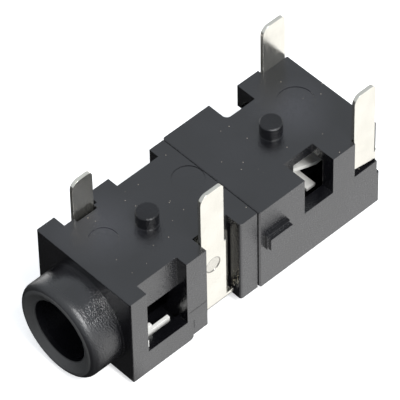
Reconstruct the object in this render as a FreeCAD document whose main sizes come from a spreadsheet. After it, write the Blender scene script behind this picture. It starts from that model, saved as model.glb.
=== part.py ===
import FreeCAD, Part
import math
import os
import re
import Sketcher

# A board-mounted socket for a 3.5 mm stereo plug, lying with its solder pins up.
# The origin is on the plug's axis in the plane of the housing's front face.
# +X is to the right seen from the plug's side, +Y runs into the socket and +Z points along the pins.

# Driving sizes in millimetres
SIZES = {
    # Plug bore and collar
    "bore_radius": 1.8,
    "passage_radius": 2.0,
    "passage_depth": 12.4,
    "collar_length": 2.0,
    "collar_radius": 2.76,
    "collar_round": 0.45,
    "mouth_chamfer_depth": 0.27,
    "root_step_radius": 2.86,
    "root_step_height": 0.1,
    "collar_seat": 0.1,
    # Housing outline
    "board_height": 3.41,
    "back_depth": 2.24,
    "lip_depth": 2.53,
    "lip_length": 4.1,
    "lip_round": 0.2,
    "front_half_width": 3.4,
    "rear_half_width": 3.5,
    "seam_depth": 8.6,
    "housing_length": 17.05,
    "edge_round": 0.08,
    "seam_chamfer": 0.07,
    "corner_round": 0.15,
    # Locating pegs and ejector marks
    "peg_radius": 0.61,
    "peg_height": 0.8,
    "peg_chamfer": 0.06,
    "front_peg_depth": 4.29,
    "peg_spacing": 8.49,
    "mark_depth": 0.02,
    "mark_offset": 0.65,
    "front_mark_depth": 1.95,
    "front_mark_radius": 0.76,
    "middle_mark_inset": 0.93,
    "middle_mark_radius": 0.85,
    "rear_mark_inset": 1.91,
    "rear_mark_radius": 1.0,
    # Front right window and the opening from it to the passage
    "front_window_near": 1.08,
    "front_window_far": 3.73,
    "front_window_floor": -1.0,
    "front_window_wall": 2.7,
    "front_opening_top": 1.3,
    "front_opening_floor": -1.45,
    "front_opening_inside": 1.2,
    # Left notches of the front housing
    "ear_length": 1.17,
    "ear_notch_wall": 2.64,
    "pin_slot_wall": 2.37,
    "web_gap": 0.1,
    "tab_far": 4.81,
    "side_notch_wall": 2.75,
    "side_notch_far": 7.6,
    # Right recess for the middle terminal
    "recess_gap_near": 0.05,
    "recess_gap_far": 0.1,
    "tongue_gap": 0.1,
    "tongue_window_top": 2.0,
    "tongue_window_floor": -1.5,
    # Spigot of the front housing in the rear housing
    "spigot_length": 0.8,
    "spigot_half_width": 2.8,
    "spigot_top": 2.8,
    "spigot_bottom": -1.2,
    "spigot_clearance": 0.04,
    "spring_room": 0.35,
    # Rear housing
    "rib_gap": 0.3,
    "rib_length": 1.6,
    "rib_low": 0.63,
    "rib_high": 1.6,
    "rib_height": 0.42,
    "rib_step": 0.18,
    "rear_window_inset": 3.32,
    "rear_window_length": 2.01,
    "rear_window_wall": 1.99,
    "rear_window_floor": 0.91,
    "view_inset": 2.3,
    "view_floor": -0.75,
    "rear_notch_inset": 3.27,
    "rear_notch_length": 1.98,
    "rear_notch_wall": 2.2,
    "rear_notch_round": 0.3,
    "tunnel_radius": 1.0,
    "tunnel_spring": 1.9,
    "chamber_left": -0.95,
    "chamber_right": 1.75,
    "chamber_top": 2.78,
    "rear_wall": 0.85,
    # Contacts
    "sheet": 0.2,
    "bend": 0.2,
    "slot_clearance": 0.05,
    "rear_pin_length": 3.16,
    "pin_width": 1.55,
    "pin_front_round": 0.5,
    "pin_rear_round": 0.3,
    "tongue_width": 0.8,
    "tongue_root": 1.9,
    "tongue_reach": 1.45,
    "tongue_end": -1.2,
    "tongue_back": 0.6,
    "tongue_lap": 0.3,
    "tongue_crest_height": 0.05,
    # Sleeve contact
    "sleeve_pin_length": 2.5,
    "sleeve_pin_width": 1.33,
    "sleeve_pin_near": 1.8,
    "sleeve_web_depth": 2.3,
    "sleeve_wall": 2.45,
    "sleeve_wall_top": -0.9,
    "sleeve_length": 1.5,
    "sleeve_stop_near": 1.2,
    "sleeve_stop_reach": 3.2,
    "sleeve_stop_low": -0.99,
    "sleeve_stop_high": -0.5,
    # Ring contact
    "ring_pin_length": 3.35,
    "ring_plate": 2.88,
    "ring_leaf": 2.48,
    "ring_near": 5.12,
    "ring_length": 2.15,
    "ring_fold": -1.95,
    "ring_foot_height": 0.35,
    "ring_shoulder_height": 2.5,
    "ring_shoulder_step": 0.12,
    "ring_leaf_top": 2.7,
    "coin_radius": 0.47,
    "coin_depth": 0.03,
    "coin_height": 1.3,
    # Rear contacts
    "rear_pin_inset": 1.75,
    "rear_plate_inset": 0.22,
    "pin_floor": 0.9,
    "pin_foot_near": 1.3,
    "pin_foot_far": 1.0,
    "back_plate_low": 0.0,
    "back_plate_high": 1.55,
    "leaf_height": 0.95,
    "leaf_left": -0.45,
    "leaf_right": 1.5,
    "leaf_root_length": 2.55,
    "leaf_crest_lead": 2.2,
    "leaf_crest_height": 2.3,
    "leaf_touch": 9.0,
    "leaf_touch_height": 1.05,
    "leaf_lip_length": 1.05,
    "leaf_lip_rise": 0.8,
    "leaf_taper_length": 1.3,
    "leaf_tip_half_width": 0.42,
    "switch_inset": 3.65,
    "switch_width": 0.6,
    "switch_right": 1.95,
    "switch_floor": 0.0,
    "switch_arm_top": 1.1,
    "switch_hat_half": 0.35,
    "switch_hat_slope": 0.45,
}

# Places that follow from the sizes
PLACES = {
    # Pockets and recesses of the front housing, from the contacts that lie in them
    "sleeve_far": "sleeve_pin_near + sleeve_length",
    "web_near": "sleeve_pin_near - web_gap",
    "tab_near": "sleeve_pin_near + sleeve_length + slot_clearance",
    "ring_far": "ring_near + ring_length",
    "recess_near": "ring_near - recess_gap_near",
    "recess_far": "ring_near + ring_length + recess_gap_far",
    # On either side of the seam
    "middle_mark_depth": "seam_depth - middle_mark_inset",
    "rib_near": "seam_depth + rib_gap",
    "rib_far": "seam_depth + rib_gap + rib_length",
    # Back from the rear face
    "rear_window_far": "housing_length - rear_window_inset",
    "rear_window_near": "housing_length - rear_window_inset - rear_window_length",
    "rear_notch_far": "housing_length - rear_notch_inset",
    "rear_notch_near": "housing_length - rear_notch_inset - rear_notch_length",
    "view_far": "housing_length - view_inset",
    "chamber_far": "housing_length - rear_wall",
    "rear_mark_depth": "housing_length - rear_mark_inset",
    "rear_pin_near": "housing_length - rear_pin_inset",
    "switch_near": "housing_length - switch_inset",
    "leaf_bend": "housing_length - leaf_root_length",
    # Round the point where the leaf touches the plug's tip
    "leaf_crest": "leaf_touch + leaf_crest_lead",
    "leaf_end": "leaf_touch - leaf_lip_length",
    "leaf_end_height": "leaf_touch_height + leaf_lip_rise",
    "rear_peg_depth": "front_peg_depth + peg_spacing",
}

DIRECTIONS = {"XY": "XY_Plane", "XZ": "XZ_Plane", "YZ": "YZ_Plane"}

doc = FreeCAD.newDocument("audio_jack_socket")


def write_sheet():
    """Puts the driving sizes in the spreadsheet, one row each."""
    sheet = doc.addObject("Spreadsheet::Sheet", "Sizes")
    for row, (name, value) in enumerate(SIZES.items(), start=1):
        sheet.set(f"A{row}", name)
        sheet.set(f"B{row}", str(value))
        sheet.setAlias(f"B{row}", name)
    doc.recompute()
    return sheet


sheet = write_sheet()


def size(name):
    """The value of one cell of the sheet, or of a place that follows from several."""
    if name not in PLACES:
        return float(sheet.get(name))
    terms = re.findall(r"(-?) ?([a-z_]+)", PLACES[name])
    return sum(-size(term) if minus else size(term) for minus, term in terms)


def linked(expression):
    """An expression on the names of sizes and places, as the document wants it."""
    def cell(word):
        name = word.group(0)
        return f"({linked(PLACES[name])})" if name in PLACES else "Sizes." + name
    return re.sub(r"[a-z_]+", cell, expression)


def new_body(label):
    body = doc.addObject("PartDesign::Body", label)
    body.Label = label
    return body


def new_sketch(body, name, plane, level):
    """A sketch on one of the body's own origin planes, moved along the plane's row axis to a level."""
    sketch = body.newObject("Sketcher::SketchObject", name)
    origin = [item for item in body.Origin.OriginFeatures if item.Role == DIRECTIONS[plane]][0]
    sketch.AttachmentSupport = (origin, [""])
    sketch.MapMode = "FlatFace"
    sign = "-1 * " if plane == "XZ" else ""
    sketch.setExpression("AttachmentOffset.Base.z", linked(f"{sign}({level})"))
    return sketch


def tie(sketch, kind, geometry, point, expression):
    """Holds one coordinate of a sketch point at an expression."""
    index = sketch.addConstraint(Sketcher.Constraint(kind, -1, 1, geometry, point, 1.0))
    sketch.setExpression(f"Constraints[{index}]", linked(expression))


def draw_polygon(sketch, corners):
    """A closed outline with each corner tied to a pair of expressions."""
    count = len(corners)
    for index in range(count):
        turn = 2 * math.pi / count
        start = FreeCAD.Vector(math.cos(index * turn), math.sin(index * turn), 0)
        end = FreeCAD.Vector(math.cos((index + 1) * turn), math.sin((index + 1) * turn), 0)
        sketch.addGeometry(Part.LineSegment(start, end), False)
    for index in range(count):
        sketch.addConstraint(Sketcher.Constraint("Coincident", index, 2, (index + 1) % count, 1))
    for index, (across, along) in enumerate(corners):
        tie(sketch, "DistanceX", index, 1, across)
        tie(sketch, "DistanceY", index, 1, along)


def draw_box(sketch, low_u, high_u, low_v, high_v):
    draw_polygon(sketch, [(low_u, low_v), (high_u, low_v), (high_u, high_v), (low_u, high_v)])


def draw_circle(sketch, across, along, radius):
    sketch.addGeometry(Part.Circle(FreeCAD.Vector(1, 1, 0), FreeCAD.Vector(0, 0, 1), 1), False)
    tie(sketch, "DistanceX", 0, 3, across)
    tie(sketch, "DistanceY", 0, 3, along)
    index = sketch.addConstraint(Sketcher.Constraint("Radius", 0, 1.0))
    sketch.setExpression(f"Constraints[{index}]", linked(radius))


def extrude(body, sketch, name, length, cut=False):
    """A pad or a pocket from the sketch towards the plus side of the row axis."""
    feature = body.newObject("PartDesign::Pocket" if cut else "PartDesign::Pad", name)
    feature.Profile = sketch
    feature.setExpression("Length", linked(length))
    backwards = "XZ_Plane" in sketch.AttachmentSupport[0][0].Role
    feature.Reversed = backwards != cut
    doc.recompute()
    return feature


def box_feature(body, name, plane, outline, start, end, cut=False):
    """A pad or pocket with a rectangular outline between two levels."""
    sketch = new_sketch(body, name + "_outline", plane, start)
    draw_box(sketch, *outline)
    return extrude(body, sketch, name, f"({end}) - ({start})", cut)


def round_feature(body, name, plane, outline, start, end, cut=False):
    """A pad or pocket with a round outline between two levels."""
    sketch = new_sketch(body, name + "_outline", plane, start)
    draw_circle(sketch, *outline)
    return extrude(body, sketch, name, f"({end}) - ({start})", cut)


def edges_where(feature, wanted):
    """Names of the feature's edges whose end points all pass a test."""
    names = []
    for index, edge in enumerate(feature.Shape.Edges, start=1):
        if all(wanted(vertex.Point) for vertex in edge.Vertexes):
            names.append(f"Edge{index}")
    return names


def near(value, target):
    return abs(value - target) < 0.01


def dress(body, kind, name, wanted, amount):
    """A fillet or chamfer on the edges of the body's last feature that pass the test."""
    base = body.Tip
    feature = body.newObject("PartDesign::" + kind, name)
    feature.Base = (base, edges_where(base, wanted))
    feature.setExpression("Radius" if kind == "Fillet" else "Size", linked(amount))
    doc.recompute()
    return feature


def strip_sides(points, half, bend):
    """The two long sides of a bent strip, each a list of lines and arcs along its centre line."""
    sides = []
    for side in (half, -half):
        pieces = []
        previous = None
        for index, point in enumerate(points):
            if index == 0 or index == len(points) - 1:
                neighbour = points[1] if index == 0 else points[-2]
                along = (neighbour - point) if index == 0 else (point - neighbour)
                along.normalize()
                here = point + FreeCAD.Vector(-along.y, along.x, 0) * side
                if previous is not None:
                    pieces.append((previous, here))
                previous = here
                continue
            before = (point - points[index - 1]).normalize()
            after = (points[index + 1] - point).normalize()
            turn = math.atan2(before.x * after.y - before.y * after.x, before.dot(after))
            reach = bend * math.tan(abs(turn) / 2)
            inward = math.copysign(1.0, turn)
            centre = point - before * reach + FreeCAD.Vector(-before.y, before.x, 0) * bend * inward
            radius = bend - side * inward
            first = centre - FreeCAD.Vector(-before.y, before.x, 0) * radius * inward
            last = centre - FreeCAD.Vector(-after.y, after.x, 0) * radius * inward
            middle = centre + (point - centre).normalize() * radius
            if (first - previous).Length > 1e-6:
                pieces.append((previous, first))
            pieces.append((first, middle, last))
            previous = last
        sides.append(pieces)
    return sides


def draw_strip(sketch, points, thickness, bend):
    """The closed edge-on outline of a bent strip of sheet, from its centre line."""
    centre_line = [FreeCAD.Vector(across, along, 0) for across, along in points]
    left, right = strip_sides(centre_line, thickness / 2, bend)
    caps = [(left[0][0], right[0][0]), (left[-1][-1], right[-1][-1])]
    for piece in left + right + caps:
        shape = Part.Arc(*piece) if len(piece) == 3 else Part.LineSegment(*piece)
        sketch.addGeometry(shape, False)


def strip_feature(body, name, plane, points, start, end):
    """A bent strip of sheet, drawn edge-on and given its width."""
    sketch = new_sketch(body, name + "_outline", plane, start)
    draw_strip(sketch, points, size("sheet"), size("bend"))
    return extrude(body, sketch, name, f"({end}) - ({start})")


def round_pin_end(body, name, top, front, rear):
    """Rounds the two corners of a solder pin's end."""
    for label, place, amount in (("front", front, "pin_front_round"), ("rear", rear, "pin_rear_round")):
        dress(body, "Fillet", f"{name}_{label}_corner",
              lambda p: near(p.z, top) and near(p.y, place), amount)


# Front housing
def front_block(body):
    """The block behind the collar, with the deeper lip under its front."""
    sides = ("-front_half_width", "front_half_width")
    box_feature(body, "block", "XZ", (*sides, "-back_depth", "board_height"), "0", "seam_depth")
    box_feature(body, "lip", "XZ", (*sides, "-lip_depth", "0"), "0", "lip_length")
    seam = size("seam_depth")
    lip_far = size("lip_length")
    lip_low = -size("lip_depth")
    dress(body, "Fillet", "lip_corner", lambda p: near(p.y, lip_far) and near(p.z, lip_low), "lip_round")
    dress(body, "Chamfer", "seam_edge", lambda p: near(p.y, seam), "seam_chamfer")
    dress(body, "Fillet", "front_edges", lambda p: near(p.y, 0), "edge_round")


def collar(body):
    """The tube round the plug's mouth, turned about the plug's axis, and the step at its root."""
    round_feature(body, "root_step", "XZ", ("0", "0", "root_step_radius"), "-root_step_height", "collar_seat")
    sketch = new_sketch(body, "collar_profile", "YZ", "0")
    length = size("collar_length")
    outer = size("collar_radius")
    rounding = size("collar_round")
    bore = size("bore_radius")
    inside = size("mouth_chamfer_depth")
    seat = size("collar_seat")
    corner = FreeCAD.Vector(-length + rounding, outer - rounding, 0)
    start = FreeCAD.Vector(seat, bore, 0)
    top = FreeCAD.Vector(seat, outer, 0)
    shoulder = FreeCAD.Vector(corner.x, outer, 0)
    rim = FreeCAD.Vector(-length, corner.y, 0)
    mouth = FreeCAD.Vector(-length + inside, bore, 0)
    middle = corner + FreeCAD.Vector(-1, 1, 0).normalize() * rounding
    sketch.addGeometry(Part.LineSegment(start, top), False)
    sketch.addGeometry(Part.LineSegment(top, shoulder), False)
    sketch.addGeometry(Part.Arc(shoulder, middle, rim), False)
    sketch.addGeometry(Part.LineSegment(rim, mouth), False)
    sketch.addGeometry(Part.LineSegment(mouth, start), False)
    turned = body.newObject("PartDesign::Revolution", "collar")
    turned.Profile = sketch
    turned.ReferenceAxis = (sketch, ["H_Axis"])
    turned.Angle = 360
    doc.recompute()


def plug_passage(body):
    """The bore that guides the plug, and the slightly wider passage behind it."""
    bore = ("0", "0", "bore_radius")
    passage = ("0", "0", "passage_radius")
    round_feature(body, "bore", "XZ", bore, "-root_step_height", "front_window_near", cut=True)
    end = "seam_depth + spigot_length"
    round_feature(body, "passage", "XZ", passage, "front_window_near", end, cut=True)


def spigot(body):
    """The part of the front housing that enters the rear one."""
    outline = ("-spigot_half_width", "spigot_half_width", "spigot_bottom", "spigot_top")
    box_feature(body, "spigot", "XZ", outline, "seam_depth - 0.5", "seam_depth + spigot_length")


def spring_gap(body):
    """Room above the passage for the end of the tip spring."""
    outline = ("chamber_left", "chamber_right", "0", "spigot_top + 0.01")
    box_feature(body, "spring_gap", "XZ", outline,
                "leaf_end - spring_room", "seam_depth + spigot_length", cut=True)


def front_openings(body):
    """Windows, notches and recesses, most of them cut down from the board face."""
    through = ("-lip_depth", "board_height")
    left = "-front_half_width"
    right = "front_half_width"
    box_feature(body, "window", "XY",
                ("front_window_wall", right, "front_window_near", "front_window_far"),
                "front_window_floor", "board_height", cut=True)
    box_feature(body, "window_inside", "XY",
                ("front_opening_inside", "front_window_wall", "front_window_near", "front_window_far"),
                "front_opening_floor", "front_opening_top", cut=True)
    box_feature(body, "ear_notch", "XY", (left, "-ear_notch_wall", "ear_length", "tab_near"),
                *through, cut=True)
    box_feature(body, "pin_slot", "XY",
                ("-ear_notch_wall - 0.01", "-pin_slot_wall",
                 "sleeve_pin_near", "sleeve_pin_near + sleeve_pin_width"),
                "tongue_root", "board_height", cut=True)
    box_feature(body, "side_notch", "XY", (left, "-side_notch_wall", "tab_far", "side_notch_far"),
                *through, cut=True)
    box_feature(body, "terminal_recess", "XY", ("ring_leaf - sheet / 2", right, "recess_near", "recess_far"),
                *through, cut=True)


def tongue_openings(body):
    """Windows through the passage wall for the two spring tongues, and the channel for the sleeve web."""
    heights = ("tongue_window_floor", "tongue_window_top")
    sleeve_middle = "sleeve_pin_near + sleeve_pin_width / 2"
    ring_middle = "(ring_near + ring_far) / 2"
    half = "(tongue_width / 2 + tongue_gap)"
    box_feature(body, "sleeve_window", "XY",
                ("-ear_notch_wall - 0.01", "-front_opening_inside",
                 f"{sleeve_middle} - {half}", f"{sleeve_middle} + {half}"),
                *heights, cut=True)
    box_feature(body, "ring_window", "XY",
                ("front_opening_inside", "ring_leaf - sheet / 2 + 0.01",
                 f"{ring_middle} - {half}", f"{ring_middle} + {half}"),
                *heights, cut=True)
    box_feature(body, "web_channel", "XY",
                ("-front_half_width", "sleeve_wall + sheet / 2 + slot_clearance", "web_near",
                 "sleeve_far + slot_clearance"),
                "-lip_depth", "-sleeve_web_depth + sheet / 2", cut=True)
    box_feature(body, "fold_room", "XY",
                ("-ear_notch_wall - 0.01", "-ear_notch_wall + bend / 2", "web_near", "tab_near"),
                "-lip_depth", "-sleeve_web_depth + (sheet + bend) / 2", cut=True)
    box_feature(body, "wall_slot", "XY",
                ("sleeve_wall - (sheet + bend) / 2", "sleeve_wall + sheet / 2 + slot_clearance",
                 "web_near", "sleeve_far + slot_clearance"),
                "-lip_depth", "front_opening_floor + 0.01", cut=True)


def ejector_mark(body, name):
    """A shallow round mark that one of the mould's ejectors leaves on the board face."""
    outline = ("-mark_offset", f"{name}_mark_depth", f"{name}_mark_radius")
    round_feature(body, f"{name}_mark", "XY", outline, "board_height - mark_depth", "board_height", cut=True)


def locating_peg(body, depth):
    """A peg on the board face that enters a hole of the board."""
    outline = ("0", depth, "peg_radius")
    round_feature(body, "peg", "XY", outline, "board_height - 0.2", "board_height + peg_height")
    top = size("board_height") + size("peg_height")
    dress(body, "Chamfer", "peg_edge", lambda p: near(p.z, top), "peg_chamfer")


def make_front_housing():
    body = new_body("front_housing")
    front_block(body)
    spigot(body)
    collar(body)
    plug_passage(body)
    spring_gap(body)
    front_openings(body)
    tongue_openings(body)
    side = size("front_half_width")
    far = size("recess_far")
    dress(body, "Fillet", "recess_corner", lambda p: near(p.x, side) and near(p.y, far), "corner_round")
    ejector_mark(body, "front")
    ejector_mark(body, "middle")
    locating_peg(body, "front_peg_depth")
    return body


# Rear housing
def rear_block(body):
    sides = ("-rear_half_width", "rear_half_width")
    box_feature(body, "block", "XZ", (*sides, "-back_depth", "board_height"), "seam_depth", "housing_length")
    seam = size("seam_depth")
    far = size("housing_length")
    dress(body, "Chamfer", "seam_edge", lambda p: near(p.y, seam), "seam_chamfer")
    dress(body, "Fillet", "rear_edges", lambda p: near(p.y, far), "edge_round")


def side_rib(body):
    """The stepped rib on the right side, just behind the seam."""
    outer = ("rib_near", "rib_far", "rib_low", "rib_high")
    box_feature(body, "rib_foot", "YZ", outer,
                "rear_half_width - 0.2", "rear_half_width + rib_height - rib_step")
    inner = ("rib_near + rib_step / 2", "rib_far", "rib_low", "rib_high - rib_step")
    box_feature(body, "rib_crest", "YZ", inner, "rear_half_width", "rear_half_width + rib_height")
    far = size("rib_far")
    low = size("rib_low")
    dress(body, "Fillet", "rib_corner", lambda p: near(p.y, far) and near(p.z, low), "corner_round")


def rear_chamber(body):
    """Socket for the spigot, end of the plug passage and the room that the tip spring moves in."""
    gap = "spigot_clearance"
    outline = (f"-spigot_half_width - {gap}", f"spigot_half_width + {gap}",
               f"spigot_bottom - {gap}", f"spigot_top + {gap}")
    box_feature(body, "spigot_socket", "XZ", outline,
                "seam_depth", f"seam_depth + spigot_length + {gap}", cut=True)
    passage = ("0", "0", "passage_radius")
    round_feature(body, "passage", "XZ", passage, "seam_depth", "passage_depth", cut=True)
    box_feature(body, "chamber", "XZ", ("chamber_left", "chamber_right", "switch_floor", "chamber_top"),
                "seam_depth", "chamber_far", cut=True)


def rear_openings(body):
    """The right window, the room seen through it and the notch on the left."""
    right = "rear_half_width"
    left = "-rear_half_width"
    box_feature(body, "window", "XY", ("rear_window_wall", right, "rear_window_near", "rear_window_far"),
                "rear_window_floor", "board_height", cut=True)
    box_feature(body, "view_room", "XY",
                ("front_opening_inside", "(rear_window_wall + rear_half_width) / 2",
                 "passage_depth", "view_far"),
                "view_floor", "chamber_top", cut=True)
    box_feature(body, "notch", "XY", (left, "-rear_notch_wall", "rear_notch_near", "rear_notch_far"),
                "switch_floor", "board_height", cut=True)
    wall = -size("rear_notch_wall")
    near_end = size("rear_notch_near")
    dress(body, "Fillet", "notch_corner",
          lambda p: near(p.x, wall) and near(p.y, near_end), "rear_notch_round")


def contact_tunnel(body):
    """The arched tunnel that the left contact lies in, open to the notch and to the left side."""
    box_feature(body, "tunnel", "XZ",
                ("-rear_half_width", "-rear_notch_wall", "switch_floor", "tunnel_spring"),
                "rear_notch_far - 0.1", "rear_pin_near", cut=True)
    sketch = new_sketch(body, "arch_outline", "XZ", "rear_notch_far - 0.1")
    centre = FreeCAD.Vector(-size("rear_notch_wall"), size("tunnel_spring"), 0)
    radius = size("tunnel_radius")
    crown = centre + FreeCAD.Vector(0, radius, 0)
    foot = centre - FreeCAD.Vector(radius, 0, 0)
    shoulder = centre + FreeCAD.Vector(-1, 1, 0).normalize() * radius
    sketch.addGeometry(Part.LineSegment(centre, crown), False)
    sketch.addGeometry(Part.Arc(crown, shoulder, foot), False)
    sketch.addGeometry(Part.LineSegment(foot, centre), False)
    extrude(body, sketch, "arch", "rear_pin_near - rear_notch_far + 0.1", cut=True)


def rear_slots(body):
    """Slots for the rear terminals and the switch strip, and the recess for the tip contact's back plate."""
    inner = "(rear_half_width - rear_plate_inset - sheet / 2)"
    near_end = "rear_pin_near - slot_clearance"
    far_end = "housing_length"
    box_feature(body, "right_slot", "XY", (inner, "rear_half_width", near_end, far_end),
                "pin_floor", "board_height", cut=True)
    bend_start = "housing_length - sheet / 2 - bend"
    box_feature(body, "bend_room", "XY", (f"{inner} - bend", inner, bend_start, far_end),
                "back_plate_low", "back_plate_high", cut=True)
    box_feature(body, "left_slot", "XY", ("-rear_half_width", f"-{inner}", near_end, far_end),
                "switch_floor", "board_height", cut=True)
    box_feature(body, "back_recess", "XZ",
                ("leaf_left - slot_clearance", "rear_half_width", "back_plate_low - slot_clearance",
                 "back_plate_high + slot_clearance"),
                "housing_length - sheet", "housing_length", cut=True)
    box_feature(body, "leaf_slot", "XZ",
                ("leaf_left - slot_clearance", "leaf_right + slot_clearance",
                 "leaf_height - sheet", "leaf_height + sheet"),
                "chamber_far - 0.01", "housing_length", cut=True)
    box_feature(body, "strip_slot", "YZ",
                ("switch_near - slot_clearance", "switch_near + switch_width + slot_clearance",
                 "switch_floor", "switch_floor + sheet + slot_clearance"),
                "-rear_notch_wall - 0.01", "chamber_left + 0.01", cut=True)


def make_rear_housing():
    body = new_body("rear_housing")
    rear_block(body)
    side_rib(body)
    rear_chamber(body)
    rear_openings(body)
    contact_tunnel(body)
    rear_slots(body)
    ejector_mark(body, "rear")
    locating_peg(body, "rear_peg_depth")
    return body


# Contacts
def tongue(body, name, plate, side, middle):
    """A spring tongue cut free on three sides from an upright plate and bent in to the plug."""
    half = "(tongue_width + tongue_gap) / 2"
    box_feature(body, name + "_opening", "YZ",
                (f"{middle} - {half}", f"{middle} + {half}", "tongue_end - tongue_gap", "tongue_root"),
                f"({plate}) - sheet", f"({plate}) + sheet", cut=True)
    root = size("tongue_root")
    x = size("ring_leaf") if side > 0 else -size("ear_notch_wall") - size("sheet") / 2
    crest = side * size("tongue_reach")
    back = crest + side * size("tongue_back")
    points = [(x, root + size("tongue_lap")), (x, root), (crest, size("tongue_crest_height")),
              (back, size("tongue_end"))]
    strip_feature(body, name, "XZ", points, f"{middle} - tongue_width / 2", f"{middle} + tongue_width / 2")


def make_sleeve_contact():
    """Pin and plate on the left, web under the passage and a low wall on the right."""
    body = new_body("sleeve_contact")
    plate = -size("ear_notch_wall") - size("sheet") / 2
    web = -size("sleeve_web_depth")
    wall = size("sleeve_wall")
    top = size("board_height") + size("sleeve_pin_length")
    points = [(plate, top), (plate, web), (wall, web), (wall, size("sleeve_wall_top"))]
    strip_feature(body, "fold", "XZ", points, "sleeve_pin_near", "sleeve_far")
    box_feature(body, "pin_side", "YZ",
                ("sleeve_pin_near + sleeve_pin_width", "sleeve_far", "-sleeve_web_depth + sheet",
                 "board_height + sleeve_pin_length"),
                "-ear_notch_wall - 2 * sheet", "-ear_notch_wall", cut=True)
    near_side = size("sleeve_pin_near")
    round_pin_end(body, "pin", top, near_side, near_side + size("sleeve_pin_width"))
    stop_near = size("sleeve_stop_near")
    stop = [(wall, near_side + 0.3), (wall, stop_near), (size("sleeve_stop_reach"), stop_near)]
    strip_feature(body, "stop", "XY", stop, "sleeve_stop_low", "sleeve_stop_high")
    box_feature(body, "stop_root", "YZ",
                ("sleeve_stop_near + bend", "sleeve_pin_near + bend", "front_opening_floor + slot_clearance",
                 "sleeve_stop_high"),
                "sleeve_wall - sheet / 2", "sleeve_wall + sheet / 2")
    tongue(body, "tongue", "-ear_notch_wall - sheet / 2", -1, "(sleeve_pin_near + sleeve_pin_width / 2)")
    return body


def make_ring_contact():
    """Wide outer plate with the pin, folded at the bottom to an inner leaf with the tongue."""
    body = new_body("ring_contact")
    top = size("board_height") + size("ring_pin_length")
    plate = size("ring_plate")
    leaf = size("ring_leaf")
    fold = size("ring_fold")
    points = [(plate, top), (plate, fold), (leaf, fold), (leaf, size("ring_leaf_top"))]
    strip_feature(body, "fold", "XZ", points, "ring_near", "ring_far")
    middle = "(ring_plate + ring_leaf) / 2"
    box_feature(body, "plate_side", "YZ",
                ("ring_near + pin_width + ring_shoulder_step", "ring_far", "ring_fold + ring_foot_height",
                 "board_height + ring_pin_length"),
                middle, "ring_plate + sheet", cut=True)
    box_feature(body, "shoulder", "YZ",
                ("ring_near + pin_width", "ring_far",
                 "ring_shoulder_height", "board_height + ring_pin_length"),
                middle, "ring_plate + sheet", cut=True)
    near_side = size("ring_near")
    round_pin_end(body, "pin", top, near_side, near_side + size("pin_width"))
    leaf_top = size("ring_leaf_top")
    far_side = size("ring_far")
    dress(body, "Fillet", "leaf_corner",
          lambda p: near(p.z, leaf_top) and near(p.y, far_side), "pin_rear_round")
    tongue(body, "tongue", "ring_leaf", 1, "(ring_near + ring_far) / 2")
    round_feature(body, "coin_mark", "YZ", ("ring_near + pin_width / 2", "coin_height", "coin_radius"),
                  "ring_plate + sheet / 2 - coin_depth", "ring_plate + sheet / 2", cut=True)
    return body


def make_tip_contact():
    """Side plate with the pin, back plate across the rear and the long leaf to the plug's tip."""
    body = new_body("tip_contact")
    side = size("rear_half_width") - size("rear_plate_inset")
    back = size("housing_length") - size("sheet") / 2
    top = size("board_height") + size("rear_pin_length")
    points = [(side, size("rear_pin_near")), (side, back), (size("leaf_left"), back)]
    strip_feature(body, "corner", "XY", points, "back_plate_low", "board_height + rear_pin_length")
    box_feature(body, "above_back_plate", "XY",
                ("leaf_left", "rear_half_width", "housing_length - sheet / 2 - bend", "housing_length"),
                "back_plate_high", "board_height + rear_pin_length", cut=True)
    sketch = new_sketch(body, "foot_outline", "YZ", "rear_half_width - rear_plate_inset - sheet")
    far = "housing_length - sheet"
    draw_polygon(sketch, [("rear_pin_near", "back_plate_low"), (far, "back_plate_low"), (far, "pin_foot_far"),
                          ("rear_pin_near", "pin_foot_near")])
    extrude(body, sketch, "foot", "rear_plate_inset + sheet", cut=True)
    round_pin_end(body, "pin", top, size("rear_pin_near"), back - size("bend"))
    height = size("leaf_height")
    path = [(back, height), (size("leaf_bend"), height), (size("leaf_crest"), size("leaf_crest_height")),
            (size("leaf_touch"), size("leaf_touch_height")), (size("leaf_end"), size("leaf_end_height"))]
    strip_feature(body, "leaf", "YZ", path, "leaf_left", "leaf_right")
    taper = new_sketch(body, "taper_outline", "XY", "leaf_height + sheet")
    end = "leaf_end - sheet"
    start = "leaf_crest + leaf_taper_length"
    outside = "leaf_right + 0.1"
    draw_polygon(taper, [("leaf_tip_half_width", end), (outside, end), (outside, start),
                         ("leaf_right", start), ("leaf_tip_half_width", "leaf_crest")])
    extrude(body, taper, "taper", "leaf_crest_height", cut=True)
    return body


def leaf_underside(depth):
    """Height of the tip leaf's lower face over the switch strip."""
    rise = size("leaf_crest_height") - size("leaf_height")
    run = size("leaf_bend") - size("leaf_crest")
    slope = rise / run
    middle = size("leaf_height") + (size("leaf_bend") - depth) * slope
    return middle - size("sheet") / 2 * math.hypot(1, slope)


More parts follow.
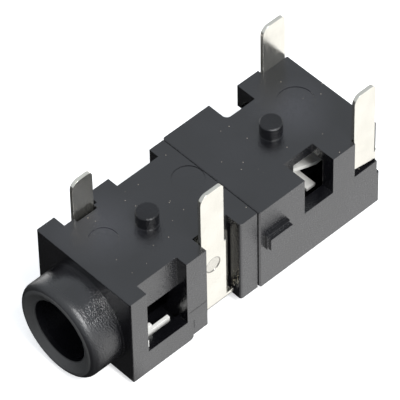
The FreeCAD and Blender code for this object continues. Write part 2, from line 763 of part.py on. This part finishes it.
def make_tip_switch_contact():
    """Side plate with the pin, arm along the tunnel and the cross strip that the tip leaf rests on."""
    body = new_body("tip_switch_contact")
    side = "-rear_half_width + rear_plate_inset"
    inner = f"{side} - sheet / 2"
    outer = f"{side} + sheet / 2"
    far = "rear_pin_near + pin_width"
    foot = "switch_floor + sheet"
    box_feature(body, "pin", "YZ",
                ("rear_pin_near", far, foot, "board_height + rear_pin_length"), inner, outer)
    box_feature(body, "arm", "YZ", ("switch_near", far, foot, "switch_arm_top"), inner, outer)
    top = size("board_height") + size("rear_pin_length")
    near_side = size("rear_pin_near")
    round_pin_end(body, "pin", top, near_side, near_side + size("pin_width"))
    plate = -size("rear_half_width") + size("rear_plate_inset")
    half_sheet = size("sheet") / 2
    low = size("switch_floor") + half_sheet
    high = leaf_underside(size("switch_near") + size("switch_width")) - half_sheet
    half = size("switch_hat_half")
    reach = half + size("switch_hat_slope")
    points = [(plate, low + size("bend") + half_sheet), (plate, low), (-reach, low), (-half, high),
              (half, high), (reach, low), (size("switch_right"), low)]
    strip_feature(body, "cross_strip", "XZ", points, "switch_near", "switch_near + switch_width")
    return body


def check_and_write(bodies):
    """Stops on any failed object, then writes one file for each piece."""
    doc.recompute()
    for item in doc.Objects:
        if "Invalid" in item.State or "Error" in item.State:
            raise RuntimeError(f"{item.Label} did not compute: {item.State}")
    os.makedirs("parts", exist_ok=True)
    for body in bodies:
        shape = body.Shape
        if shape.isNull() or not shape.isValid() or len(shape.Solids) != 1:
            raise RuntimeError(f"{body.Label} is not one valid solid")
        print(body.Label, round(shape.Volume, 4), "mm3")
        shape.exportStep(f"parts/{body.Label}.step")


MAKERS = (make_front_housing, make_rear_housing, make_sleeve_contact, make_ring_contact, make_tip_contact,
          make_tip_switch_contact)
check_and_write([make() for make in MAKERS])
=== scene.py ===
import math

import bmesh
import bpy
from mathutils import Matrix, Vector


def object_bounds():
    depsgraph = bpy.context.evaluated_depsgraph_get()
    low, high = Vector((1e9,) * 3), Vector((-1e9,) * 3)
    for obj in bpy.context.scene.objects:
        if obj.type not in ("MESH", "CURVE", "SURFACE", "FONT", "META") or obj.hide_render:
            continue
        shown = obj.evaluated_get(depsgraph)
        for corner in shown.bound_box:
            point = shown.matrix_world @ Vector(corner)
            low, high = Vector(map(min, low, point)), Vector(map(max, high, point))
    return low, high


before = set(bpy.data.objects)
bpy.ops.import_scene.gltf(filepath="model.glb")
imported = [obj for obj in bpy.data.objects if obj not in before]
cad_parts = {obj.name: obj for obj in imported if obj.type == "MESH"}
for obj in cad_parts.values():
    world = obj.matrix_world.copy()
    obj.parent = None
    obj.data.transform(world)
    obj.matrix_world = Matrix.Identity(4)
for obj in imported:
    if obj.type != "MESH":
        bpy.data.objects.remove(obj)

# An audio jack socket for a circuit board, lying on its back with its solder pins up.
# The script works in metres; sizes of the object are written in millimetres and turned by MM.
# X runs to the right and Y into the socket, seen from the plug, and Z the way the pins point.
MM = 0.001
CAD_BOX = [list(corner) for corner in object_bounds()]

# Camera, as the photograph was taken: turned round and tilted down, from far away with a long lens
CAMERA_TURN = math.radians(47.507)
CAMERA_TILT = math.radians(48.73)
CAMERA_ROLL = math.radians(1.28)
CAMERA_DISTANCE = 205.69 * MM
CAMERA_AIM = Vector((0.0, 7.844, 2.177)) * MM
CAMERA_NEAREST_AND_FARTHEST = (0.01, 5.0)
PICTURE_WIDTH = 400
FOCAL_LENGTH_IN_PIXELS = 4125.62
SENSOR_WIDTH = 36.0

# Paper floor that the socket rests on
FLOOR_HEIGHT = CAD_BOX[0][2]
FLOOR_SIZE = 0.6
PAPER_WHITE = (0.95, 0.95, 0.95, 1.0)
PAPER_SHINE = 0.5

# Glow of the floor as the socket's glossy faces mirror it: the stretches over which it grows
# along y, to the right and behind the socket, and fades towards it on the left
GLOW_ALONG = (-0.8 * MM, 1.2 * MM)
GLOW_RIGHT = (2.9 * MM, 3.6 * MM)
GLOW_LEFT = (-14 * MM, -9 * MM)
GLOW_BEHIND = (16.5 * MM, 19 * MM)
GLOW_BRIGHT = 1.24
GLOW_DIM = 0.04

# The room that every ray but the camera's sees
ROOM_COLOUR = (0.9, 0.95, 1.0, 1.0)
ROOM_BRIGHTNESS = 0.69

# Soft boxes: name, place, width of the square in metres, and power in watts
LAMP_AIM = (0.0, 0.008, 0.0)
LAMPS = (
    ("top_soft_box", (0.14, 0.0, 0.205), 0.09, 0.45),
    ("front_soft_box", (0.21, -0.03, 0.13), 0.14, 0.2),
    ("right_soft_box", (0.174, 0.03, 0.096), 0.07, 0.012),
)

# Small radii that moulding and stamping leave on every edge, and the depth of the fine relief
PLASTIC_EDGE = 0.025 * MM
SHEET_EDGE = 0.05 * MM
EDGE_SAMPLES = 6
PLASTIC_RELIEF = 0.02 * MM
PLASTIC_RELIEF_STRENGTH = 0.6
SHEET_RELIEF = 0.01 * MM
SHEET_RELIEF_STRENGTH = 0.06

# Parting lines of the mould's side slide, on the right side of the front housing.
# One lies level and runs in y; the other stands upright and runs in z.
SLIDE_LINE_LEVEL = -0.39 * MM
SLIDE_LINE_ENDS = (3.84 * MM, 5.04 * MM)
SLIDE_JOINT_DEPTH = 4.15 * MM
SLIDE_JOINT_ENDS = (-1.75 * MM, -1.15 * MM)
PARTING_LINE_WIDTH = 0.05 * MM
RIGHT_SIDE_FROM = 3.3 * MM

# Round mark pressed into the outer face of the middle terminal: y and z of its centre
MARK_CENTRE = (5.9 * MM, 1.3 * MM)
MARK_RADIUS = 0.47 * MM
MARK_LINE = 0.035 * MM
MARKED_FACE_FROM = 2.9 * MM

# Board face, which the pins and pegs stand on
BOARD_FACE_LEVEL = 3.41 * MM
BOARD_FACE_BAND = 0.05 * MM
PEG_FROM = BOARD_FACE_LEVEL + 0.1 * MM

# Round marks of the mould's ejector pins on the board face: x and y of their centres, and radius
EJECTOR_MARKS = ((-0.65, 1.95, 0.76), (-0.65, 7.67, 0.85), (-0.65, 15.14, 1.0))
EJECTOR_LINE = 0.022 * MM
# Direction, in x and y, towards which the ejector marks' painted shade grows strongest
EJECTOR_SHADED_SIDE = (-0.7, 0.7, 0)

# Patches of painted sheen on the board face, a lighter base colour finely dotted by the grain: x and
# y of their centres, and radius
SHEEN_PATCHES = ((-1.3, 2.3, 2.6), (-0.4, 14.6, 2.4))
SHEEN_PATCH_CORE = 0.2

# Far wall of the recess that the middle terminal lies in, where its lost shine is painted shade:
# from and to in y, and its inner end in x
SHADED_RECESS_WALL = (7.3 * MM, 7.45 * MM)
RECESS_INSIDE = 2.3 * MM

# Collar: its mouth, rougher towards the front and given a grey base colour at its front edge as
# painted sheen, and the bore behind it
COLLAR_WORN_FROM = -1.2 * MM
COLLAR_WORN_TO = -1.8 * MM
COLLAR_SHEEN_END = -1.72 * MM
COLLAR_SHEEN_RADIUS = 2.5 * MM
# Inside this radius, up to this depth, the plastic loses most of its shine: painted shade in the
# bore
BORE_RADIUS = 1.85 * MM
BORE_END = 15.5 * MM

# Part of each contact that lies inside the housing: from and to in x, then in y
SLEEVE_INSIDE = ((-2.4 * MM, 4 * MM), (0.0, 18 * MM))
TIP_INSIDE = ((-4 * MM, 2.6 * MM), (0.0, 16 * MM))
SWITCH_INSIDE = ((-2.9 * MM, 4 * MM), (0.0, 18 * MM))

# Colours of the plastic and the tin
BLACK = (0.004, 0.004, 0.005)
BLACK_BLOTCH = (0.007, 0.007, 0.009)
# Lighter black for the painted sheen on the board face
BLACK_PAINTED_SHEEN = (0.03, 0.03, 0.036)
# Grey for the painted sheen on the collar's mouth
BLACK_MOUTH_SHEEN = (0.07, 0.07, 0.07)
DUST = (0.3, 0.26, 0.21)
TIN_SHADE = (0.74, 0.72, 0.65)
TIN = (0.82, 0.8, 0.73)
TIN_MARK = (0.3, 0.29, 0.27)
TIN_MARK_EDGE = (0.25, 0.24, 0.22)
TIN_DULL = (0.95, 0.94, 0.9)
DULL_METALLIC = 0.1

# How fine each pattern is, in lumps to a metre
BLOTCH_SCALE = 350.0
GRAIN_SCALE = 12000.0
HATCH_SCALE = 4500.0
DUST_SCALE = 2000.0
MOTTLE_SCALE = 26000.0
CLOUD_SCALE = 700.0
ROLLING_SCALE = 6000.0

# Roughness, smoothest and roughest, and what the sides and the collar's mouth add to it
PLASTIC_ROUGHNESS = (0.12, 0.18)
SIDES_ROUGHER = 0.1
MOUTH_ROUGHER = 0.3
SHEET_ROUGHNESS = (0.16, 0.26)

# Share of its shine that the plastic loses in each place
SHINE_LOST = {"ejector_arcs": 1.0, "bore": 0.9, "parting_lines": 0.85, "pegs": 0.5, "recess": 0.65}

# Height of the plastic's grain, on polished and on blotched places, and what the sides and the
# pegs add to it; then the height of the slanting marks, which only the sides have
GRAIN_HEIGHT = (0.6, 2.2)
SIDES_COARSER = 0.3
PEGS_COARSER = 1.0
HATCH_HEIGHT = 0.3
HATCH_WAVINESS = 4.0
HATCH_DETAIL = 2.0

# Specks of dust: their size as a share of a cell, and the share of the cells left without one
DUST_SIZE = 0.055
DUST_FREE = 0.35

# How strongly the pressed mark's floor and outline take their colours
MARK_TINT = 0.4
MARK_EDGE_TINT = 0.6

# A face looks along an axis if its normal has more than this share of it
FACING = 0.7
FACING_UP = 0.9


def join(tree, source, target):
    tree.links.new(source, target)


def new_material(name):
    """A node material: its tree, its shader and the coordinates that its patterns read."""
    material = bpy.data.materials.new(name)
    material.use_nodes = True
    tree = material.node_tree
    return material, tree, tree.nodes["Principled BSDF"], tree.nodes.new("ShaderNodeTexCoord")


def add_node(tree, kind, **settings):
    node = tree.nodes.new(kind)
    for name, value in settings.items():
        setattr(node, name, value)
    return node


def axes(tree, vector):
    """The X, Y and Z of a vector."""
    node = add_node(tree, "ShaderNodeSeparateXYZ")
    join(tree, vector, node.inputs["Vector"])
    return node.outputs


def arithmetic(tree, operation, *values):
    """A Math node whose inputs are numbers or other nodes' outputs."""
    node = add_node(tree, "ShaderNodeMath", operation=operation)
    for index, value in enumerate(values):
        if isinstance(value, (int, float)):
            node.inputs[index].default_value = value
        else:
            join(tree, value, node.inputs[index])
    return node.outputs[0]


def all_of(tree, first, *others):
    """The product of masks: 1 only where each of them is 1."""
    for other in others:
        first = arithmetic(tree, "MULTIPLY", first, other)
    return first


def above(tree, value, limit):
    return arithmetic(tree, "GREATER_THAN", value, limit)


def below(tree, value, limit):
    return arithmetic(tree, "LESS_THAN", value, limit)


def between(tree, value, low, high):
    """1 where the value lies between two limits."""
    return all_of(tree, above(tree, value, low), below(tree, value, high))


def near(tree, value, middle, room):
    """1 where the value lies within the given room of a middle value."""
    return between(tree, value, middle - room, middle + room)


def plus_share(tree, value, mask, share):
    """Adds a share of the mask to a value."""
    return arithmetic(tree, "MULTIPLY_ADD", mask, share, value)


def spread(tree, value, low, high, from_low=0.3, from_high=0.7):
    """Maps a range, by default a pattern's middle range, to a new one."""
    node = add_node(tree, "ShaderNodeMapRange")
    node.inputs["From Min"].default_value = from_low
    node.inputs["From Max"].default_value = from_high
    node.inputs["To Min"].default_value = low
    node.inputs["To Max"].default_value = high
    join(tree, value, node.inputs["Value"])
    return node.outputs["Result"]


def noise(tree, place, scale, detail=2.0, stretch=(1, 1, 1)):
    """Noise in object space; scale is the number of lumps in a metre."""
    mapping = add_node(tree, "ShaderNodeMapping")
    mapping.inputs["Scale"].default_value = stretch
    join(tree, place.outputs["Object"], mapping.inputs["Vector"])
    texture = add_node(tree, "ShaderNodeTexNoise")
    texture.inputs["Scale"].default_value = scale
    texture.inputs["Detail"].default_value = detail
    join(tree, mapping.outputs["Vector"], texture.inputs["Vector"])
    return texture.outputs["Fac"]


def offset_from(tree, place, centre, directions):
    """The way from a point, counted only in the directions that are 1."""
    shift = add_node(tree, "ShaderNodeVectorMath", operation="SUBTRACT")
    shift.inputs[1].default_value = centre
    join(tree, place.outputs["Object"], shift.inputs[0])
    flat = add_node(tree, "ShaderNodeVectorMath", operation="MULTIPLY")
    flat.inputs[1].default_value = directions
    join(tree, shift.outputs["Vector"], flat.inputs[0])
    return flat.outputs["Vector"]


def length_of(tree, vector):
    node = add_node(tree, "ShaderNodeVectorMath", operation="LENGTH")
    join(tree, vector, node.inputs[0])
    return node.outputs["Value"]


def mix_colours(tree, amount, first, second):
    """From the first colour at 0 to the second at 1."""
    node = add_node(tree, "ShaderNodeMix", data_type="RGBA")
    join(tree, amount, node.inputs["Factor"])
    for socket, colour in ((node.inputs[6], first), (node.inputs[7], second)):
        if isinstance(colour, tuple):
            socket.default_value = (*colour, 1.0)
        else:
            join(tree, colour, socket)
    return node.outputs[2]


def bump(tree, shader, height, strength, distance, edge):
    """Fine relief on top of edges that are softened over a small radius."""
    soft_edge = add_node(tree, "ShaderNodeBevel", samples=EDGE_SAMPLES)
    soft_edge.inputs["Radius"].default_value = edge
    node = add_node(tree, "ShaderNodeBump")
    node.inputs["Strength"].default_value = strength
    node.inputs["Distance"].default_value = distance
    join(tree, height, node.inputs["Height"])
    join(tree, soft_edge.outputs["Normal"], node.inputs["Normal"])
    join(tree, node.outputs["Normal"], shader.inputs["Normal"])


def parting_lines(tree, spot):
    """A mask of the thin lines that the mould's side slide leaves."""
    half = PARTING_LINE_WIDTH / 2
    level = all_of(tree, near(tree, spot["Z"], SLIDE_LINE_LEVEL, half),
                   between(tree, spot["Y"], *SLIDE_LINE_ENDS))
    upright = all_of(tree, near(tree, spot["Y"], SLIDE_JOINT_DEPTH, half),
                     between(tree, spot["Z"], *SLIDE_JOINT_ENDS))
    lines = arithmetic(tree, "MAXIMUM", level, upright)
    return all_of(tree, lines, above(tree, spot["X"], RIGHT_SIDE_FROM))


def pressed_mark(tree, place):
    """Masks of the pressed mark's outline and of its mottled floor."""
    distance = length_of(tree, offset_from(tree, place, (0, *MARK_CENTRE), (0, 1, 1)))
    outer_face = above(tree, axes(tree, place.outputs["Object"])["X"], MARKED_FACE_FROM)
    mottle = spread(tree, noise(tree, place, MOTTLE_SCALE, 1.0), 0.35, 1.0, 0.4, 0.6)
    outline = all_of(tree, near(tree, distance, MARK_RADIUS, MARK_LINE), outer_face)
    floor = all_of(tree, below(tree, distance, MARK_RADIUS), mottle, outer_face)
    return outline, floor


def ejector_arcs(tree, place, spot):
    """A mask of the ejector marks' steps; their dark line is partly the real step and partly painted
    shade, strongest on their left rear side.
    """
    arcs = 0.0
    for x, y, radius in EJECTOR_MARKS:
        offset = offset_from(tree, place, (x * MM, y * MM, 0), (1, 1, 0))
        line = near(tree, length_of(tree, offset), radius * MM, EJECTOR_LINE)
        lean = add_node(tree, "ShaderNodeVectorMath", operation="DOT_PRODUCT")
        lean.inputs[1].default_value = EJECTOR_SHADED_SIDE
        join(tree, offset, lean.inputs[0])
        shade_side = spread(tree, lean.outputs["Value"], 0.1, 0.9, 0.0, radius * MM)
        arcs = arithmetic(tree, "MAXIMUM", arcs, all_of(tree, line, shade_side))
    return all_of(tree, arcs, above(tree, spot["Z"], BOARD_FACE_LEVEL - BOARD_FACE_BAND))


def painted_sheen_patches(tree, place, spot, grain):
    """A mask of the patches of painted sheen on the board face, dotted like fine leather."""
    patches = 0.0
    for x, y, radius in SHEEN_PATCHES:
        distance = length_of(tree, offset_from(tree, place, (x * MM, y * MM, 0), (1, 1, 0)))
        patch = spread(tree, distance, 1.0, 0.0, SHEEN_PATCH_CORE * radius * MM, radius * MM)
        patches = arithmetic(tree, "MAXIMUM", patches, patch)
    dots = spread(tree, grain, 0.45, 1.0, 0.35, 0.65)
    return all_of(tree, patches, dots, near(tree, spot["Z"], BOARD_FACE_LEVEL, BOARD_FACE_BAND))


def shaded_recess_wall(tree, spot, facing):
    """A mask of the wall beside the middle terminal that looks towards the plug, whose lost shine is
    painted shade.
    """
    return all_of(tree, between(tree, spot["Y"], *SHADED_RECESS_WALL),
                  above(tree, spot["X"], RECESS_INSIDE), below(tree, facing["Y"], -FACING))


def dust(tree, place, facing):
    """A mask of tiny specks of dust on faces that point up."""
    cells = add_node(tree, "ShaderNodeTexVoronoi")
    cells.inputs["Scale"].default_value = DUST_SCALE
    join(tree, place.outputs["Object"], cells.inputs["Vector"])
    chance = add_node(tree, "ShaderNodeSeparateColor")
    join(tree, cells.outputs["Color"], chance.inputs["Color"])
    return all_of(tree, below(tree, cells.outputs["Distance"], DUST_SIZE),
                  above(tree, chance.outputs["Red"], DUST_FREE), above(tree, facing["Z"], FACING_UP))


def diagonal_hatch(tree, place):
    """The slanting marks that the eroded mould leaves on the sides."""
    node = add_node(tree, "ShaderNodeTexWave", bands_direction="DIAGONAL")
    node.inputs["Scale"].default_value = HATCH_SCALE
    node.inputs["Distortion"].default_value = HATCH_WAVINESS
    node.inputs["Detail Scale"].default_value = HATCH_DETAIL
    join(tree, place.outputs["Object"], node.inputs["Vector"])
    return node.outputs["Fac"]


def moulded_plastic():
    """Black moulded plastic: eroded texture on the sides, a smoother board face, a little dust."""
    material, tree, shader, place = new_material("moulded_black_plastic")
    spot = axes(tree, place.outputs["Object"])
    facing = axes(tree, place.outputs["Normal"])
    sideways = above(tree, arithmetic(tree, "ABSOLUTE", facing["X"]), FACING)
    on_peg = above(tree, spot["Z"], PEG_FROM)
    lines = parting_lines(tree, spot)
    blotch = noise(tree, place, BLOTCH_SCALE)
    grain = noise(tree, place, GRAIN_SCALE)

    from_axis = length_of(tree, offset_from(tree, place, (0, 0, 0), (1, 0, 1)))
    # Painted shade: the bore's plastic loses most of its shine
    in_bore = all_of(tree, below(tree, from_axis, BORE_RADIUS), below(tree, spot["Y"], BORE_END))
    # Painted sheen: the front of the collar's mouth gets a grey base colour
    mouth_sheen = all_of(tree, below(tree, spot["Y"], COLLAR_SHEEN_END),
                    below(tree, from_axis, COLLAR_SHEEN_RADIUS))
    mouth = spread(tree, spot["Y"], 1.0, 0.0, COLLAR_WORN_TO, COLLAR_WORN_FROM)

    colour = mix_colours(tree, spread(tree, blotch, 0.0, 1.0), BLACK, BLACK_BLOTCH)
    # The board face's patches and the collar's mouth get painted sheen here; the dust is real
    for mask, layer in ((painted_sheen_patches(tree, place, spot, grain), BLACK_PAINTED_SHEEN),
                        (mouth_sheen, BLACK_MOUTH_SHEEN), (dust(tree, place, facing), DUST)):
        colour = mix_colours(tree, mask, colour, layer)
    join(tree, colour, shader.inputs["Base Color"])

    rough = spread(tree, grain, *PLASTIC_ROUGHNESS)
    rough = plus_share(tree, rough, sideways, SIDES_ROUGHER)
    rough = plus_share(tree, rough, mouth, MOUTH_ROUGHER)
    join(tree, rough, shader.inputs["Roughness"])

    shine = 1.0
    places = {"ejector_arcs": ejector_arcs(tree, place, spot), "bore": in_bore,
              "parting_lines": lines, "pegs": on_peg, "recess": shaded_recess_wall(tree, spot, facing)}
    for where, mask in places.items():
        shine = all_of(tree, shine, plus_share(tree, 1.0, mask, -SHINE_LOST[where]))
    join(tree, shine, shader.inputs["Specular IOR Level"])

    coarse = spread(tree, blotch, *GRAIN_HEIGHT)
    coarse = plus_share(tree, coarse, sideways, SIDES_COARSER)
    coarse = plus_share(tree, coarse, on_peg, PEGS_COARSER)
    height = arithmetic(tree, "MULTIPLY", grain, coarse)
    hatched = all_of(tree, diagonal_hatch(tree, place), sideways)
    height = plus_share(tree, height, hatched, HATCH_HEIGHT)
    height = arithmetic(tree, "SUBTRACT", height, lines)
    bump(tree, shader, height, PLASTIC_RELIEF_STRENGTH, PLASTIC_RELIEF, PLASTIC_EDGE)
    return material


def tinned_metal(name, metallic, marked=False, inside=None):
    """Tinned sheet: warm white metal with faint rolling marks, duller inside the housing."""
    material, tree, shader, place = new_material(name)
    rolling = noise(tree, place, ROLLING_SCALE, 2.0, (1, 1, 0.3))
    cloud = spread(tree, noise(tree, place, CLOUD_SCALE, 3.0), 0.0, 1.0)
    colour = mix_colours(tree, cloud, TIN_SHADE, TIN)
    if marked:
        outline, floor = pressed_mark(tree, place)
        colour = mix_colours(tree, all_of(tree, floor, MARK_TINT), colour, TIN_MARK)
        colour = mix_colours(tree, all_of(tree, outline, MARK_EDGE_TINT), colour, TIN_MARK_EDGE)
    shader.inputs["Metallic"].default_value = metallic
    if inside:
        spot = axes(tree, place.outputs["Object"])
        across, along = inside
        dull = all_of(tree, between(tree, spot["X"], *across), between(tree, spot["Y"], *along))
        colour = mix_colours(tree, dull, colour, TIN_DULL)
        duller = plus_share(tree, metallic, dull, DULL_METALLIC - metallic)
        join(tree, duller, shader.inputs["Metallic"])
    join(tree, colour, shader.inputs["Base Color"])
    join(tree, spread(tree, rolling, *SHEET_ROUGHNESS), shader.inputs["Roughness"])
    bump(tree, shader, rolling, SHEET_RELIEF_STRENGTH, SHEET_RELIEF, SHEET_EDGE)
    return material


def dress(node_name, material):
    """Gives every material slot of a carried-over node the same finish."""
    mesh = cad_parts[node_name].data
    if not mesh.materials:
        mesh.materials.append(material)
    for index in range(len(mesh.materials)):
        mesh.materials[index] = material


def camera_ray_switch(tree, for_others, for_camera):
    """Shows the camera one shader and every other ray another."""
    path = add_node(tree, "ShaderNodeLightPath")
    switch = add_node(tree, "ShaderNodeMixShader")
    join(tree, path.outputs["Is Camera Ray"], switch.inputs["Fac"])
    join(tree, for_others, switch.inputs[1])
    join(tree, for_camera, switch.inputs[2])
    output = next(node for node in tree.nodes if node.bl_idname.startswith("ShaderNodeOutput"))
    join(tree, switch.outputs["Shader"], output.inputs["Surface"])


def floor_material():
    """White paper for the camera; other rays see it bright beside the socket and dim in front."""
    material, tree, shader, place = new_material("white_paper")
    tree.nodes.remove(shader)
    paper = add_node(tree, "ShaderNodeBsdfDiffuse")
    paper.inputs["Color"].default_value = PAPER_WHITE
    shine = add_node(tree, "ShaderNodeEmission")
    shine.inputs["Strength"].default_value = PAPER_SHINE
    lit_paper = add_node(tree, "ShaderNodeAddShader")
    join(tree, paper.outputs["BSDF"], lit_paper.inputs[0])
    join(tree, shine.outputs["Emission"], lit_paper.inputs[1])

    spot = axes(tree, place.outputs["Object"])
    along = spread(tree, spot["Y"], 0.0, 1.0, *GLOW_ALONG)
    right = spread(tree, spot["X"], 0.0, 1.0, *GLOW_RIGHT)
    left = spread(tree, spot["X"], 1.0, 0.0, *GLOW_LEFT)
    behind = spread(tree, spot["Y"], 0.0, 1.0, *GLOW_BEHIND)
    around = arithmetic(tree, "MAXIMUM", arithmetic(tree, "MAXIMUM", right, left), behind)
    glow = add_node(tree, "ShaderNodeEmission")
    strength = plus_share(tree, GLOW_DIM, all_of(tree, along, around), GLOW_BRIGHT)
    join(tree, strength, glow.inputs["Strength"])
    camera_ray_switch(tree, glow.outputs["Emission"], lit_paper.outputs["Shader"])
    return material


def make_floor():
    mesh = bpy.data.meshes.new("paper_floor")
    shape = bmesh.new()
    bmesh.ops.create_grid(shape, x_segments=1, y_segments=1, size=FLOOR_SIZE)
    bmesh.ops.translate(shape, verts=shape.verts, vec=(0, 0, FLOOR_HEIGHT))
    shape.to_mesh(mesh)
    shape.free()
    floor = bpy.data.objects.new("paper_floor", mesh)
    bpy.context.collection.objects.link(floor)
    mesh.materials.append(floor_material())


def make_lamp(name, place, width, power):
    """A square soft box that looks at the middle of the socket."""
    data = bpy.data.lights.new(name, "AREA")
    data.shape = "SQUARE"
    data.size = width
    data.energy = power
    lamp = bpy.data.objects.new(name, data)
    bpy.context.collection.objects.link(lamp)
    lamp.location = place
    towards = Vector(LAMP_AIM) - Vector(place)
    lamp.rotation_euler = towards.to_track_quat("-Z", "Y").to_euler()


def make_world():
    """White for the camera, and a soft grey room for every other ray."""
    world = bpy.data.worlds.new("studio")
    bpy.context.scene.world = world
    world.use_nodes = True
    tree = world.node_tree
    room = tree.nodes["Background"]
    room.inputs["Color"].default_value = ROOM_COLOUR
    room.inputs["Strength"].default_value = ROOM_BRIGHTNESS
    paper = add_node(tree, "ShaderNodeBackground")
    paper.inputs["Color"].default_value = (1, 1, 1, 1)
    paper.inputs["Strength"].default_value = 1.0
    camera_ray_switch(tree, room.outputs["Background"], paper.outputs["Background"])


def make_camera():
    """The photograph's viewpoint, from the turn, tilt, roll and distance found for it."""
    back = Vector((math.sin(CAMERA_TURN) * math.cos(CAMERA_TILT),
                   -math.cos(CAMERA_TURN) * math.cos(CAMERA_TILT),
                   math.sin(CAMERA_TILT)))
    level = Vector((math.cos(CAMERA_TURN), math.sin(CAMERA_TURN), 0.0))
    upright = back.cross(level)
    right = level * math.cos(CAMERA_ROLL) - upright * math.sin(CAMERA_ROLL)
    up = level * math.sin(CAMERA_ROLL) + upright * math.cos(CAMERA_ROLL)
    turn = Matrix((right, up, back)).transposed().to_4x4()
    data = bpy.data.cameras.new("camera")
    data.sensor_width = SENSOR_WIDTH
    data.lens = FOCAL_LENGTH_IN_PIXELS * SENSOR_WIDTH / PICTURE_WIDTH
    data.clip_start, data.clip_end = CAMERA_NEAREST_AND_FARTHEST
    camera = bpy.data.objects.new("camera", data)
    bpy.context.collection.objects.link(camera)
    camera.matrix_world = Matrix.Translation(CAMERA_AIM + back * CAMERA_DISTANCE) @ turn
    bpy.context.scene.camera = camera


for housing in ("front_housing", "rear_housing"):
    dress(housing, moulded_plastic())
dress("sleeve_contact", tinned_metal("tinned_sleeve_sheet", 0.95, inside=SLEEVE_INSIDE))
dress("ring_contact", tinned_metal("tinned_ring_sheet", 1.0, marked=True))
dress("tip_contact", tinned_metal("tinned_tip_sheet", 1.0, inside=TIP_INSIDE))
dress("tip_switch_contact", tinned_metal("tinned_switch_sheet", 0.95, inside=SWITCH_INSIDE))
make_floor()
make_world()
for lamp_facts in LAMPS:
    make_lamp(*lamp_facts)
make_camera()
bpy.context.scene.view_settings.view_transform = "Standard"
